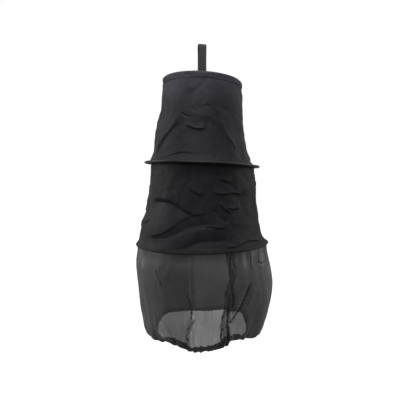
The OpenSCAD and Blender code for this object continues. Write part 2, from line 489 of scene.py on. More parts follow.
def webbing_material():
    """Ribbed webbing: cross ribs with a fine chevron, and selvedges worn darker and smoother."""
    s = material_shader("webbing")
    uv = s.uv()
    across, along, _ = s.add("SeparateXYZ", {0: uv}).outputs
    spot = s.spot()
    side = s.math("ABSOLUTE", s.math("SUBTRACT", across, WEBBING_WIDTH / 2))
    edge = s.remap(side, 7.6 * MM, 9.4 * MM)
    slant = s.math("MULTIPLY_ADD", s.math("PINGPONG", across, 2.5 * MM), 0.8)
    rib = s.math("SINE", s.mul(s.plus(along, slant), 2 * math.pi / RIB_PITCH))
    fine = s.math("SINE", s.mul(across, 2 * math.pi / (0.8 * MM)))
    fuzz = s.noise(spot, 400.0, 4.0)
    shade = s.plus(s.mul(rib, 0.3), fuzz)
    tint = s.blend(s.remap(shade, 0.2, 0.9), (0.022, 0.022, 0.023), (0.062, 0.062, 0.064))
    tint = s.blend(s.mul(edge, 0.75), tint, (0.012, 0.012, 0.013))
    height = s.plus(rib, s.mul(fine, 0.4))
    normal = s.bump(height, 0.12 * MM, 0.9, s.bump(fuzz, 0.15 * MM, 0.5))
    return s.finish(s.principled(tint, 0.7, normal, Sheen_Weight=0.35, Specular_IOR_Level=0.3))


def thread_material(name, colour):
    """Twisted sewing thread."""
    s = material_shader(name)
    spot = s.spot()
    fibre = s.noise(spot, 900.0, 3.0)
    tint = s.blend(fibre, times(colour, 0.7), times(colour, 1.4))
    return s.finish(s.principled(tint, 0.55, s.bump(fibre, 0.1 * MM, 0.6), Sheen_Weight=0.4))


def metal_material(name, colour, rough, scratch_scale):
    """Drawn or crimped metal: fine draw marks and dull patches."""
    s = material_shader(name)
    spot = s.spot()
    marks = s.noise(spot, scratch_scale, 6.0, 0.7)
    dull = s.noise(spot, 60.0, 3.0)
    tint = s.blend(dull, times(colour, 0.8), times(colour, 1.1))
    roughness = s.remap(dull, 0.3, 0.7, rough - 0.1, rough + 0.15)
    return s.finish(s.principled(tint, roughness, s.bump(marks, 0.05 * MM, 0.4), Metallic=1.0))


def elastic_material():
    """Elastic cord in a braided cover."""
    s = material_shader("elastic")
    spot = s.spot()
    braid = s.add("TexVoronoi", {"Vector": spot, "Scale": 900.0}).outputs["Distance"]
    tint = s.blend(braid, (0.03, 0.03, 0.03), (0.012, 0.012, 0.012))
    return s.finish(s.principled(tint, 0.6, s.bump(braid, 0.2 * MM, 0.7), Sheen_Weight=0.2))


# Painted light: the upper cloth, its binding and the crown brighten to 4.2 times their colour towards
# the crown hoop.
CLOTH = cloth_material("cloth", (0.0104, 0.0100, 0.0133), sheen=0.06,
                       painted_light_by_height=(upper_hoop.height + 0.105, crown_hoop.height + 0.004, 4.2))
# Painted shade: the middle cloth is darker next to the lower hoop, and its colour rises to 1.26 times
# itself 80 mm above it.
CLOTH_LOWER = cloth_material("cloth_lower", (0.0080, 0.0078, 0.0103), sheen=0.05,
                             painted_light_by_height=(lower_hoop.height + 0.005, lower_hoop.height + 0.080, 1.26))
BINDING = cloth_material("binding", (0.019, 0.019, 0.021), 0.6 * MM, 0.1, 0.58, 0.5 * MM)
BINDING_LOWER = cloth_material("binding_lower", (0.0080, 0.0078, 0.0096), 0.6 * MM, 0.1, 0.58,
                               0.5 * MM)
PIPING = cloth_material("piping", (0.019, 0.019, 0.021), 0.6 * MM, 0.1, 0.30, 0.3 * MM)
SEAM = cloth_material("seam_tape", (0.018, 0.018, 0.020), pitch=0.7 * MM, crush=0.3 * MM)
NET = net_material("net", (0.070, 0.070, 0.072), 0.120)
NET_GATHER = net_material("net_gather", (0.022, 0.022, 0.024), 0.02)
WEBBING = webbing_material()
THREAD = thread_material("thread", (0.040, 0.040, 0.042))
THREAD_DARK = thread_material("thread_dark", (0.024, 0.024, 0.026))
WIRE_STEEL = metal_material("spring_wire", (0.33, 0.34, 0.36), 0.32, 1400.0)
FERRULE = metal_material("ferrule", (0.48, 0.49, 0.51), 0.42, 700.0)
ELASTIC = elastic_material()

# ---- sewing thread


def at(place_along, reach, values):
    """The value at that distance along a line, whose points lie at those distances."""
    return np.array([np.interp(place_along, reach, values[:, c]) for c in range(values.shape[1])])


def along_line(points):
    """How far along a line each of its points lies."""
    return np.concatenate([[0], np.cumsum(np.linalg.norm(np.diff(points, axis=0), axis=1))])


def stitches(name, lines, material, pitch=3.2 * MM, length=2.3 * MM, radius=0.28 * MM):
    """Rows of stitches along lines of points with outward normals: [(points, normals), ...].
    Each stitch is a small bead, sunk at both ends."""
    ring, rings = 6, 5
    verts, faces = [], []
    around = np.arange(ring) * 2 * math.pi / ring
    for points, normals in lines:
        reach = along_line(points)
        count = int(reach[-1] / pitch)
        for k in range(count):
            mid = (k + 0.5) * reach[-1] / count
            ends = [at(mid + side * length / 2, reach, points) for side in (-1, 1)]
            up = at(mid, reach, normals)
            along = ends[1] - ends[0]
            along /= np.linalg.norm(along)
            across = np.cross(along, up)
            across /= np.linalg.norm(across)
            up = np.cross(across, along)
            base = len(verts)
            for r in range(rings):
                share = r / (rings - 1)
                fat = radius * (0.35 + 0.65 * math.sin(math.pi * share))
                lift = radius * (1.1 * math.sin(math.pi * share) - 0.35)
                centre = ends[0] + (ends[1] - ends[0]) * share + up * lift
                for a in around:
                    verts.append(centre + fat * (math.cos(a) * across + math.sin(a) * up))
            for r in range(rings - 1):
                for a in range(ring):
                    b = (a + 1) % ring
                    low, high = base + r * ring, base + (r + 1) * ring
                    faces.append((low + a, low + b, high + b, high + a))
            faces.append(tuple(base + a for a in reversed(range(ring))))
            faces.append(tuple(base + (rings - 1) * ring + a for a in range(ring)))
    return new_piece(name, [tuple(v) for v in verts], faces, material)


def normals_of(grid):
    """Outward normals at each point of a closed grid."""
    across = np.roll(grid, -1, 1) - np.roll(grid, 1, 1)
    down = np.gradient(grid, axis=0)
    normal = np.cross(down, across)
    return normal / np.maximum(np.linalg.norm(normal, axis=-1, keepdims=True), 1e-12)


def row_line(grid, row, lift=0.0):
    """A stitch line along one row of a closed grid, all the way round."""
    normal = normals_of(grid)
    line, up = grid[row] + normal[row] * lift, normal[row]
    return np.concatenate([line, line[:1]]), np.concatenate([up, up[:1]])


# ---- walls of the sections

COLUMNS, ROWS, FINER = 132, 52, 3
SEWN_IN = 0.9 * MM      # a wall ends this far from a hoop's plane, inside the doubled fin

# Each wall's radius on the left and the right of the bag, in millimetres, by share of the way down.
UPPER_LEFT = [(0, 88.5), (0.2, 94.5), (0.45, 103.5), (0.7, 112.5), (0.9, 117), (1, 121.5)]
UPPER_RIGHT = [(0, 89.5), (0.2, 92.5), (0.45, 97), (0.7, 101.5), (0.9, 110), (1, 121)]
MIDDLE_LEFT = [(0, 116.5), (0.1, 117.5), (0.3, 119.5), (0.45, 123.5), (0.62, 136), (0.78, 146),
               (0.9, 148.5), (0.96, 149.5), (1, 151)]
MIDDLE_RIGHT = [(0, 119), (0.1, 124), (0.2, 128), (0.45, 129), (0.62, 133), (0.78, 135.5),
                (0.9, 140), (0.96, 145.5), (1, 150.5)]
SKIRT_LEFT = [(0, 146), (0.15, 156), (0.3, 154.5), (0.57, 147.5), (0.7, 144), (0.8, 136), (0.9, 130),
              (0.97, 121), (1, 107.8)]
SKIRT_RIGHT = [(0, 146.5), (0.15, 157), (0.3, 164.5), (0.57, 165), (0.7, 160.5), (0.8, 153),
               (0.9, 142), (0.97, 127), (1, 107.8)]


def through(knots, value):
    """The value of a smooth curve through knots of (place, value)."""
    places, heights = np.array(knots, float).T
    slopes = np.gradient(heights, places)
    k = np.clip(np.searchsorted(places, value, "right") - 1, 0, len(places) - 2)
    run = places[k + 1] - places[k]
    t = (value - places[k]) / run
    return ((1 + 2 * t) * (1 - t) ** 2 * heights[k] + t * (1 - t) ** 2 * run * slopes[k]
            + t ** 2 * (3 - 2 * t) * heights[k + 1] + t ** 2 * (t - 1) * run * slopes[k + 1])


def wall_radius(left, right, turn, share):
    """The radius at each turn, in radians, and share of the height."""
    toward_right = (1 + np.sin(turn)) / 2
    return (through(left, share) * (1 - toward_right) + through(right, share) * toward_right) * MM


def section(top, bottom, left, right, top_gap, bottom_gap):
    """A section's grid before it hangs."""
    turn, share = lattice(np.linspace(0, 1, ROWS), COLUMNS)
    radius = wall_radius(left, right, turn, share)
    high = top.at(turn, radius[:1]) - top_gap
    low = bottom.at(turn, radius[-1:]) + bottom_gap
    return place(turn, radius, high + (low - high) * share)


# Each wall's folds, in the order in which they are made: its crumples, by seed, the short folds at
# its sides and back, and then those seen in front. Sizes are in millimetres, as for Wall's methods.
UPPER_FOLDS = [
    ("facets", 3, 34, 1.5, 1.3, 0.5), ("facets", 4, 30, -1.3, 1.4, -0.7), ("facets", 5, 13, 0.35),
    ("facets", 6, 12, -0.35), ("scatter", 7, 16), ("tuck", (-21, 0.585), (2, 0.615), 3.4, 8),
    ("tuck", (-60, 0.90), (-32, 0.47), 3.4, 14, 4), ("crease", (-27, 0.45), (-15, 0.49), 1.6, 2),
    ("tuck", (17, 0.38), (40, 0.82), 3.0, 15, 2.2), ("crease", (24, 0.56), (39, 0.81), 1.6, 1.8),
    ("crease", (14, 0.56), (15, 0.80), 1.8, 1.5), ("crease", (-50, 0.93), (-12, 0.905), 2.0, 1.8),
    ("crease", (-66, 0.18), (-64, 0.50), 2.2, 4, 0.6),
    ("crease", (-76, 0.55), (-58, 0.92), 2.0, 4, 0.6), ("crease", (52, 0.86), (56, 1.0), 2.0, 1.8),
    ("crease", (2, 0.355), (9, 0.36), 1.4, 2.4), ("crease", (-12, 0.38), (-9, 0.43), 1.2, 2),
    ("swell", 31, 0.37, -1.8, 14, 5), ("swell", -14, 0.64, -3.0, 30, 24),
]
MIDDLE_FOLDS = [
    ("facets", 13, 36, 1.4, 1.3, -0.5), ("facets", 14, 31, -1.3, 1.4, 0.8),
    ("facets", 15, 13, 0.35), ("facets", 16, 12, -0.35), ("scatter", 17, 20),
    ("tuck", (17, 0.175), (28, 0.20), 3.0, 8), ("tuck", (13, 0.325), (39, 0.345), 3.4, 9),
    ("tuck", (24, 0.505), (37, 0.505), 2.8, 7), ("tuck", (17, 0.46), (26, 0.555), 3.4, 8),
    ("crease", (20, 0.37), (20, 0.47), 1.6, 1.8), ("crease", (35, 0.35), (33, 0.48), 1.2, 1.8),
    ("tuck", (-14, 0.26), (-2, 0.36), 2.2, 8), ("tuck", (-8, 0.575), (-54, 0.43), -5.0, 26, 5.0),
    ("tuck", (-50, 0.82), (0, 0.56), 1.7, 10, 2.8), ("tuck", (-50, 0.86), (8, 0.69), -6, 17, 6),
    ("tuck", (10, 0.54), (22, 0.67), -3, 12, 2), ("tuck", (3, 0.71), (19, 0.715), 2.6, 6),
    ("tuck", (-24, 0.955), (16, 0.86), -4.5, 10, 3.5), ("tuck", (20, 0.925), (60, 0.905), 3.4, 9),
    ("crease", (24, 0.85), (24, 0.96), 2.0, 1.8), ("tuck", (-84, 0.72), (-58, 0.66), 2.2, 8),
]
BACK_SEAM = (180, 4 * MM, 0.6 * MM)      # turn, half-width and lift of a felled seam


def upper_grid():
    straight = section(crown_hoop, upper_hoop, UPPER_LEFT, UPPER_RIGHT, 3 * MM, SEWN_IN)
    grid = refine(settle(straight, loose=0.012, frames=24, limit=6 * MM), FINER)
    wall = Wall(grid, radius=0.105, drop=0.185)
    wall.fold(UPPER_FOLDS)
    wall.lap(*BACK_SEAM)
    wall.fade(top=0.06, bottom=0.05)
    return wall.applied(grid)


def middle_grid():
    straight = section(upper_hoop, lower_hoop, MIDDLE_LEFT, MIDDLE_RIGHT, SEWN_IN, SEWN_IN)
    grid = refine(settle(straight, loose=0.014, frames=24, limit=7 * MM), FINER)
    wall = Wall(grid, radius=0.128, drop=0.173)
    wall.fold(MIDDLE_FOLDS)
    wall.lap(*BACK_SEAM)
    wall.fade(top=0.06, bottom=0.03)
    return wall.applied(grid)


# How far the hem hangs below the mouth's plane, in millimetres, by turn from the front.
HEM_DROP = [(-180, 8), (-150, 2), (-125, -7), (-100, -3), (-76, 11), (-60, 7), (-36, -6),
            (-24, -2), (-12, 7), (3, 5), (16, 2), (22, -1), (28, -10), (42, -7), (57, 5), (75, 10),
            (92, 0), (112, -12), (140, -2), (180, 8)]


def hem_drop(turn):
    """The hem's fall at each turn, smoothed between the places above."""
    places, falls = np.array(HEM_DROP, float).T
    index = np.clip(np.searchsorted(places, turn, "right") - 1, 0, len(places) - 2)
    share = smooth((turn - places[index]) / (places[index + 1] - places[index]))
    return (falls[index] + (falls[index + 1] - falls[index]) * share) * MM


PLEATS = 46           # gathers round the mouth
SKIRT_DROP = lower_hoop.height - mouth.height


def gather_drift(angle):
    """How unevenly the gathers are spaced, at each turn in radians."""
    return 0.6 * np.sin(3 * angle + 1) + 0.4 * np.sin(7 * angle + 2)


def gathers(turn, share):
    """Folds in the net: those that the gathered mouth sends up it, fine, broad and long, and those
    that the hoop's easing sends down it."""
    up = (1 - share) * SKIRT_DROP
    angle = np.radians(turn)
    drift = gather_drift(angle)
    fine = 1.6 * MM * np.sin(PLEATS * angle + 2.5 * drift) * np.exp(-up / 0.016)
    held = 1 - np.exp(-up / 0.009)
    broad = 3.0 * MM * np.sin(19 * angle + 2 * drift + 1.3) * np.exp(-up / 0.045) * held
    long = 2.4 * MM * np.sin(8 * angle + drift) * np.exp(-up / 0.09) * held
    eased = (1.0 + 0.8 * np.sin(2 * angle - 1)) * MM * np.sin(37 * angle + 3 * drift)
    eased = eased * np.exp(-share * SKIRT_DROP / 0.016)
    return fine + broad + long + eased


# Puffs at the skirt's top where one thin layer shows, with a painted highlight on its threads: turn,
# share, and half-sizes in millimetres.
THIN_LIT_SPOTS = [(-66, 0.05, 13, 12), (-57, 0.15, 8, 10), (47, 0.04, 10, 9), (60, 0.07, 10, 14),
              (35, 0.10, 5, 15)]
# The bundle of folds on the front: its middle's turn, and its half-width in millimetres, by share.
BUNDLE_TURN = ([0, 0.25, 0.5, 0.75, 1], [22.5, 22, 18.8, 17.2, 18.5])
BUNDLE_HALF = ([0, 0.25, 0.5, 0.75, 1], [9.5, 8.5, 9, 10.5, 10])

# Folds where the net lies in several layers: start, end, depth, width, and how dense it is there,
# which also sets the painted shade of its threads.
LAYERED_FOLDS = [
    ((24.5, -0.1), (20.5, 0.62), 2, 3.4, 1.0), ((20, 0.55), (20.5, 1.05), 2, 3.4, 1.0),
    ((20, 0.80), (27, 1.05), 4, 4, 0.9), ((39, 0.37), (22, 0.70), 4, 5.5, 0.9),
    ((-10, 0.40), (-8, 0.72), 2.6, 3.6, 0.8), ((-7, 0.62), (-17, 0.96), 3, 4.5, 0.85),
    ((-7, 0.72), (-6.5, 0.98), 1.2, 2, 0.3), ((-36, 0.66), (-26, 0.82), 1.8, 2.5, 0.5),
    ((-24, 0.86), (-24, 0.98), 1.5, 2, 0.6), ((-37, 0.18), (-31, 0.34), 2.2, 2.2, 0.6),
    ((40, 0.00), (40, 0.20), 1.8, 1.8, 0.75), ((51, -0.02), (50, 0.15), 1.8, 1.8, 0.85),
    ((49, 0.15), (60, 0.17), 1.5, 1.8, 0.8), ((63, 0.04), (66, 0.20), 1.5, 1.8, 0.6),
]


def finer_below(rows):
    """Each row's share of the way down, with the rows closer together towards the mouth."""
    return np.sin(np.linspace(0, math.pi / 2, rows)) * 0.5 + np.linspace(0, 0.5, rows)


def skirt_grid(columns=276, rows=64):
    """The skirt's grid, and how gathered the net is at each point, which is also its threads' painted
    shade: 1 where it hides what is behind it and is painted darkest, and below 0 where it is one thin
    layer with a painted highlight on its threads."""
    turn, share = lattice(finer_below(rows), columns)
    degrees = np.degrees(turn)
    outline = wall_radius(SKIRT_LEFT, SKIRT_RIGHT, turn, share)
    radius = outline + gathers(degrees, share)
    high = lower_hoop.at(turn, outline[:1]) - SEWN_IN
    low = mouth.at(turn, outline[-1:]) - hem_drop(degrees)
    grid = place(turn, radius, high + (low - high) * share)
    hung = settle(grid, loose=0.01, frames=20, limit=5 * MM, held_rows=2, stiff=0.8)
    grid = refine(hung, 2)
    wall = Wall(grid, radius=0.15, drop=SKIRT_DROP)
    wall.share = lattice(finer_below(len(grid)), grid.shape[1])[1]
    wall.facets(23, 38, 1.2, 1.5, 1.3)
    wall.facets(24, 33, -1.0, 1.5, 1.8)
    # How gathered the net is, which also paints its threads' shade: denser and painted darker on the
    # sides, most on the front left, and one open layer with a faint painted highlight in a strip down
    # the front.
    strip = smooth((wall.turn + 11) / 2) * smooth((24 - wall.turn) / 3)
    shade = 0.34 + 0.11 * smooth((wall.turn + 62) / 50) * smooth((2 - wall.turn) / 10)
    gathered = shade * (1 - strip) - 0.12 * strip * smooth((wall.turn - 2) / 12)
    middle = np.interp(wall.share, *BUNDLE_TURN)
    side = wall.across(0) - np.radians(middle) * wall.radius
    below = wall.down(0)
    side = side + 1.6 * MM * np.sin(below / (9 * MM)) + 0.8 * MM * np.sin(below / (3.1 * MM) + 1)
    half = np.interp(wall.share, *BUNDLE_HALF) * MM
    inside = smooth((half - np.abs(side)) / (3 * MM) + 0.5)
    layers = 0.74 + 0.26 * np.sin(side / (1.5 * MM) + 1.5 * np.sin(below / (12 * MM)))
    # The bundle of folds is dense, and its threads take painted shade there.
    gathered = gathered + (np.clip(layers, 0, 0.97) - gathered) * inside
    wall.depth += inside * (0.9 * MM * np.sin(side / (1.5 * MM)) - 2.5 * MM)
    for start, end, depth, width, dense in LAYERED_FOLDS:
        before = wall.depth.copy()
        wall.crease(start, end, depth, width, 0.6)
        folded = np.clip((before - wall.depth) / (depth * MM), 0, 1)
        shown = np.clip(folded * 1.6, 0, 1) * (dense > gathered)
        gathered = gathered + (dense - gathered) * shown
    mottle = np.sin(wall.across(0) / (1.7 * MM) + 2.5 * np.sin(below / (6 * MM)))
    mottle = mottle * np.sin(below / (2.6 * MM) + 2 * np.sin(wall.across(0) / (5 * MM) + 1))
    gathered = np.clip(gathered + 0.5 * mottle * smooth((gathered - 0.6) / 0.15), -9, 1)
    # Thin spots: more see-through, and painted with a highlight.
    for turn, share, wide, tall in THIN_LIT_SPOTS:
        spot = bell(wall.across(turn), 0, wide * MM) * bell(wall.down(share), 0, tall * MM)
        gathered = gathered - 2.2 * spot
    wall.fade(top=0.02, bottom=0.02)
    return wall.applied(grid), gathered


# ---- rings sewn round the hoops


def ring_grid(hoop, outline, columns):
    """A ring swept round a hoop: outline(turn) gives how far out from its centreline and how far
    up each point is, as arrays of outline points by columns."""
    turn = turns(columns)
    out, up = outline(turn)
    radius = hoop.radius + out
    turn = turn[None, :] + 0 * out
    return place(turn, radius, hoop.at(turn, radius) + up)


FERRULE_SWELL = 0.9 * MM    # how far the wire's ferrule lifts the cloth, at the back
FERRULE_TURN = 9            # degrees either way


def fin_outline(reach, rise, seed):
    """The closed outline of a doubled cloth flange with the wire in its outer edge. In front it
    rises by `rise` from the wire to the wall, and its cloth puckers all round."""
    draw = np.random.default_rng(seed)
    phases = draw.uniform(0, 2 * math.pi, 6)
    tube, root = 2.25 * MM, 1.6 * MM      # half the fin's thickness at the wire and at the wall

    def outline(turn):
        arc = np.radians(np.linspace(125, -125, 15))
        flat = np.linspace(0, 1, 7)[:-1]
        crimp = FERRULE_SWELL * bell((np.degrees(turn) % 360) - 180, 0, FERRULE_TURN)[None, :]
        nose = 1 + 0.42 * np.clip(np.cos(arc), 0, 1)
        side = -reach + flat * (reach + tube * math.cos(arc[0]))
        out = np.concatenate([side, tube * nose * np.cos(arc), side[::-1]])
        half = root + (tube * math.sin(arc[0]) - root) * smooth(flat) ** 0.7
        up = np.concatenate([half, tube * np.sin(arc), -half[::-1]])
        depth = np.clip(-out / reach, 0, 1)[:, None]
        pucker = sum(np.sin(n * turn + p) for n, p in zip((23, 31, 47, 58, 71, 13), phases))
        wave = 0.15 * MM * pucker[None, :] * depth * (1 - depth) * 4
        edge = sum(np.sin(n * turn + p) for n, p in zip((5, 8, 11), phases))
        edge = 0.12 * MM * edge[None, :] * (1 - depth)
        swollen = crimp * (1 - depth) ** 2
        out = out[:, None] + edge + swollen * np.clip(out, -tube, tube)[:, None] / tube
        lift = rise * bell(np.degrees(turn), 0, 75)[None, :] * depth
        return out, up[:, None] * (1 + swollen / tube) + wave + edge + lift

    return outline


CROWN_FLAT = 24 * MM            # radius of the crown's flat middle
BELOW_PLATEAU = 0.9 * MM        # the visual crown's top, below the CAD crown's


def crown_height(radius):
    """How far the crown's cloth lies above its hoop's plane: a flat middle, then a slack tent."""
    slope = np.clip((radius - CROWN_FLAT) / (crown_hoop.radius - CROWN_FLAT), 0, 1)
    over_wire, top = 2.2 * MM, plateau - crown_hoop.height - BELOW_PLATEAU
    straight = (top - over_wire) * (1 - 0.35 * smooth(slope) - 0.65 * slope)
    return over_wire + straight - 1.8 * MM * np.sin(math.pi * slope)


def crown_grid(columns=240, rows=40):
    """The crown's cloth, drawn up to a flat middle by the loop, with folds down to the rim."""
    turn, share = lattice(np.linspace(0, 1, rows), columns)
    hole = 3 * MM
    radius = hole + (crown_hoop.radius - hole) * share
    tent = smooth((radius - CROWN_FLAT) / (20 * MM))
    tent = tent * smooth((crown_hoop.radius - 8 * MM - radius) / (12 * MM))
    pull = 1.1 * MM * np.sin(9 * turn + 0.8 * np.sin(2 * turn)) + 0.7 * MM * np.sin(14 * turn + 2)
    grid = place(turn, radius, crown_hoop.at(turn, radius) + crown_height(radius) + pull * tent)
    draw = np.random.default_rng(31)
    for _ in range(90):
        at, way = draw.uniform(-1, 1, 2) * 0.075, draw.uniform(0, math.pi)
        dx, dy = grid[..., 0] - at[0], grid[..., 1] - at[1]
        t = (dx * math.cos(way) + dy * math.sin(way)) / 0.016
        s = (dy * math.cos(way) - dx * math.sin(way)) / 0.005
        grid[..., 2] += draw.normal() * 0.6 * MM * np.exp(-np.sqrt(s * s + 0.03) - t * t) * tent
    return grid


def wall_radius_below(points, hoop, drops, turn):
    """A hung wall's radius at those depths below its top hoop, at each turn."""
    radius = np.hypot(points[..., 0], points[..., 1])
    own_turn = turns(points.shape[1])
    below = hoop.at(own_turn[None, :], radius) - points[..., 2]
    rings = [[np.interp(drop, below[:, c], radius[:, c]) for c in range(len(own_turn))]
             for drop in drops]
    return np.array([np.interp(turn, own_turn, ring, period=2 * math.pi) for ring in rings])


def binding_outline(turn):
    """The cloth turned over the crown's wire: from its stitching on the crown, over the rim and
    down to its stitching on the wall."""
    over = np.radians(np.linspace(130, 20, 12))
    tube = 2.9 * MM
    fall = np.linspace(0, 1, 9)[:, None]
    wall = wall_radius_below(upper_points, crown_hoop, (0.6 + 11.5 * fall[:, 0]) * MM, turn)
    bulge = (0.5 * np.sin(7 * turn + 1) + 0.35 * np.sin(17 * turn + 4) + 0.2 * np.sin(41 * turn)) * MM
    roll = 1.6 * MM * bell(np.degrees(turn), 78, 26) - 0.8 * MM * bell(np.degrees(turn), -88, 20)
    proud = 1.7 * MM - 1.6 * MM * fall + (bulge + roll)[None, :] * fall * (1 - fall) * 3
    flap = np.linspace(-10, -2.4, 6) * MM
    top = np.concatenate([flap, tube * np.cos(over)])[:, None] + 0 * turn[None, :]
    out = np.concatenate([top, wall - crown_hoop.radius + proud])
    up = np.concatenate([crown_height(crown_hoop.radius + flap) + 0.7 * MM, tube * np.sin(over),
                         (-0.6 - 11.5 * fall[:, 0]) * MM])
    return out, up[:, None] + 0 * turn[None, :]


# ---- the webbing loop


def webbing_path():
    """The middle of the webbing, in the YZ plane: from the back tail, up through the crown, round
    the eye and down to the front tail. Each point is (y, z)."""
    eye = 6 * MM + WEBBING_THICK / 2
    foot = 0.95 * MM
    under = plateau - 2.2 * MM
    tail = 17 * MM
    lean = math.asin((eye - foot) / -fold_height)
    side = [(tail, under), (tail * 0.6, under), (4 * MM, under), (1.6 * MM, under + 0.5 * MM),
            (foot, under + 1.9 * MM), (foot, plateau + 1.5 * MM), (foot, fold_height)]
    leg = [(foot + (eye - foot) * s, fold_height * (1 - s)) for s in np.linspace(0.12, 0.9, 8)]
    over = [(eye * math.cos(a), eye * math.sin(a)) for a in np.linspace(lean, math.pi - lean, 19)]
    up = side + leg
    return np.array(up + over + [(-y, z) for y, z in reversed(up)])


def webbing_grid(across=26):
    """The webbing as a closed ribbon: a flat oval with thicker selvedges, swept along its path."""
    path = webbing_path()
    reach = along_line(path)
    even = np.arange(0, reach[-1], 0.5 * MM)
    path = at(even, reach, path).T.copy()
    for _ in range(6):
        path[1:-1] = (path[:-2] + 2 * path[1:-1] + path[2:]) / 4
    along = np.gradient(path, axis=0)
    along /= np.linalg.norm(along, axis=1, keepdims=True)
    normal = np.stack([along[:, 1], -along[:, 0]], -1)
    side = np.linspace(-1, 1, across)
    thick = WEBBING_THICK / 2 * (1 - side ** 8) * (1 + 0.16 * bell(np.abs(side), 0.88, 0.07))
    x = np.concatenate([side, side[::-1]]) * WEBBING_WIDTH / 2
    z = np.concatenate([thick, -thick[::-1]])
    rib = 1 + 0.05 * np.sin(even / RIB_PITCH * 2 * math.pi)
    centre = np.stack([np.zeros(len(path)), path[:, 0], path[:, 1]], -1)
    up = np.stack([np.zeros(len(path)), normal[:, 0], normal[:, 1]], -1)
    grid = centre[:, None] + up[:, None] * (z[None, :] * rib[:, None])[..., None]
    grid[..., 0] += x[None, :]
    climb = smooth((grid[..., 2] - fold_height) / -fold_height)
    grid[..., 0] *= 1 - 0.09 * climb
    twist = np.radians(12) * climb
    gx, gy = grid[..., 0].copy(), grid[..., 1].copy()
    grid[..., 0] = gx * np.cos(twist) - gy * np.sin(twist)
    grid[..., 1] = gx * np.sin(twist) + gy * np.cos(twist)
    return grid, even[-1]


# ---- the pieces



def fit(piece, body=None, nodes=()):
    """Gives a piece the body that it rides on, and hides the nodes that it replaces."""
    if nodes:
        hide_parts(*nodes)
    if body:
        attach(piece, body)
    return piece


def sewn(name, grid, size, material, body, node, thickness=0.0):
    """A piece whose grid closes round the bag. Without a thickness its rows close too."""
    piece = mesh_of(name, grid, True, size, material, thickness, both_closed=not thickness)
    return fit(piece, body, [node])


loop_grid, webbing_length = webbing_grid()
webbing = mesh_of("hanging_webbing", loop_grid, size=(2 * WEBBING_WIDTH, webbing_length),
                  material=WEBBING)
fit(webbing, nodes=["hanging_loop", "loop_tails"])
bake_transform(webbing)


def crown_surface(x, y, lift):
    """A point on the crown's flat middle."""
    return np.array([x, y, plateau - BELOW_PLATEAU + crown_hoop.slope * x + lift])


def crown_line(start, end, lift=0.3 * MM):
    points = np.array([crown_surface(*(np.array(start) + (np.array(end) - start) * s), lift)
                       for s in np.linspace(0, 1, 12)])
    return points, np.tile([0, 0, 1.0], (12, 1))


def box_lines():
    """A box with a cross in it on either side of the loop's foot."""
    half, near, end = 8.3 * MM, 3.6 * MM, 15 * MM
    for side in (-1, 1):
        corners = [(-half, side * near), (half, side * near), (half, side * end), (-half, side * end)]
        for a, b in ((0, 1), (1, 2), (2, 3), (3, 0), (0, 2), (1, 3)):
            yield crown_line(corners[a], corners[b])


fit(stitches("crown_box_stitch", list(box_lines()), THREAD, 2.6 * MM, 2.0 * MM),
    "crown", ["box_stitch"])

crown = sewn("crown_cloth", crown_grid(), (0.54, 0.08), CLOTH, "crown", "crown_panel",
             0.6 * MM)

patch_turn = turns(120)
patch_rows = np.linspace(1.5, 22, 16)[:, None] * MM
patch_points = place(patch_turn[None, :] + 0 * patch_rows, patch_rows + 0 * patch_turn[None, :],
                     plateau - 4.4 * MM + crown_hoop.slope * patch_rows * np.sin(patch_turn)[None, :]
                     + 0.25 * MM * np.sin(5 * patch_turn)[None, :] * patch_rows / (22 * MM))
patch = sewn("crown_patch_cloth", patch_points, (0.14, 0.022), BINDING, "crown",
             "crown_patch", 0.7 * MM)

upper_points = upper_grid()
binding_points = ring_grid(crown_hoop, binding_outline, 480)
binding = sewn("crown_edge_binding", binding_points, (0.56, 0.03), CLOTH, "crown",
               "crown_binding", 0.5 * MM)
binding_lines = [row_line(binding_points, row, 0.1 * MM) for row in (2, -2)]
fit(stitches("crown_edge_stitch", binding_lines, THREAD_DARK), "crown")

upper = sewn("upper_cloth", upper_points, (0.66, 0.188), CLOTH, None, "upper_panel",
             0.5 * MM)

middle_points = middle_grid()
middle = sewn("middle_cloth", middle_points, (0.83, 0.178), CLOTH_LOWER, None,
              "middle_panel", 0.5 * MM)

skirt_points, skirt_gathered_and_shade = skirt_grid()
skirt = mesh_of("net_skirt", skirt_points, size=(0.96, 0.23), material=NET)
# The attribute sets how see-through the net is, and also its painted shade and painted highlight.
layer = skirt.data.attributes.new("gathered", "FLOAT", "POINT")
layer.data.foreach_set("value", skirt_gathered_and_shade.ravel())
fit(skirt, nodes=["mesh_skirt"])


upper_fin_points = ring_grid(upper_hoop, fin_outline(17 * MM, rise=0, seed=41), 480)
upper_fin = sewn("upper_fin", upper_fin_points, (0.82, 0.04), PIPING, "upper_ring",
                 "upper_channel")
lower_fin_points = ring_grid(lower_hoop, fin_outline(10.5 * MM, rise=2.2 * MM, seed=42), 480)
lower_fin = sewn("lower_fin", lower_fin_points, (0.94, 0.04), BINDING_LOWER,
                 "lower_ring", "lower_channel")
for name, points, body in (("upper_fin_stitch", upper_fin_points, "upper_ring"),
                           ("lower_fin_stitch", lower_fin_points, "lower_ring")):
    last = points.shape[0] - 1
    lines = [row_line(points, 4), row_line(points, last - 4)]
    fit(stitches(name, lines, THREAD), body)


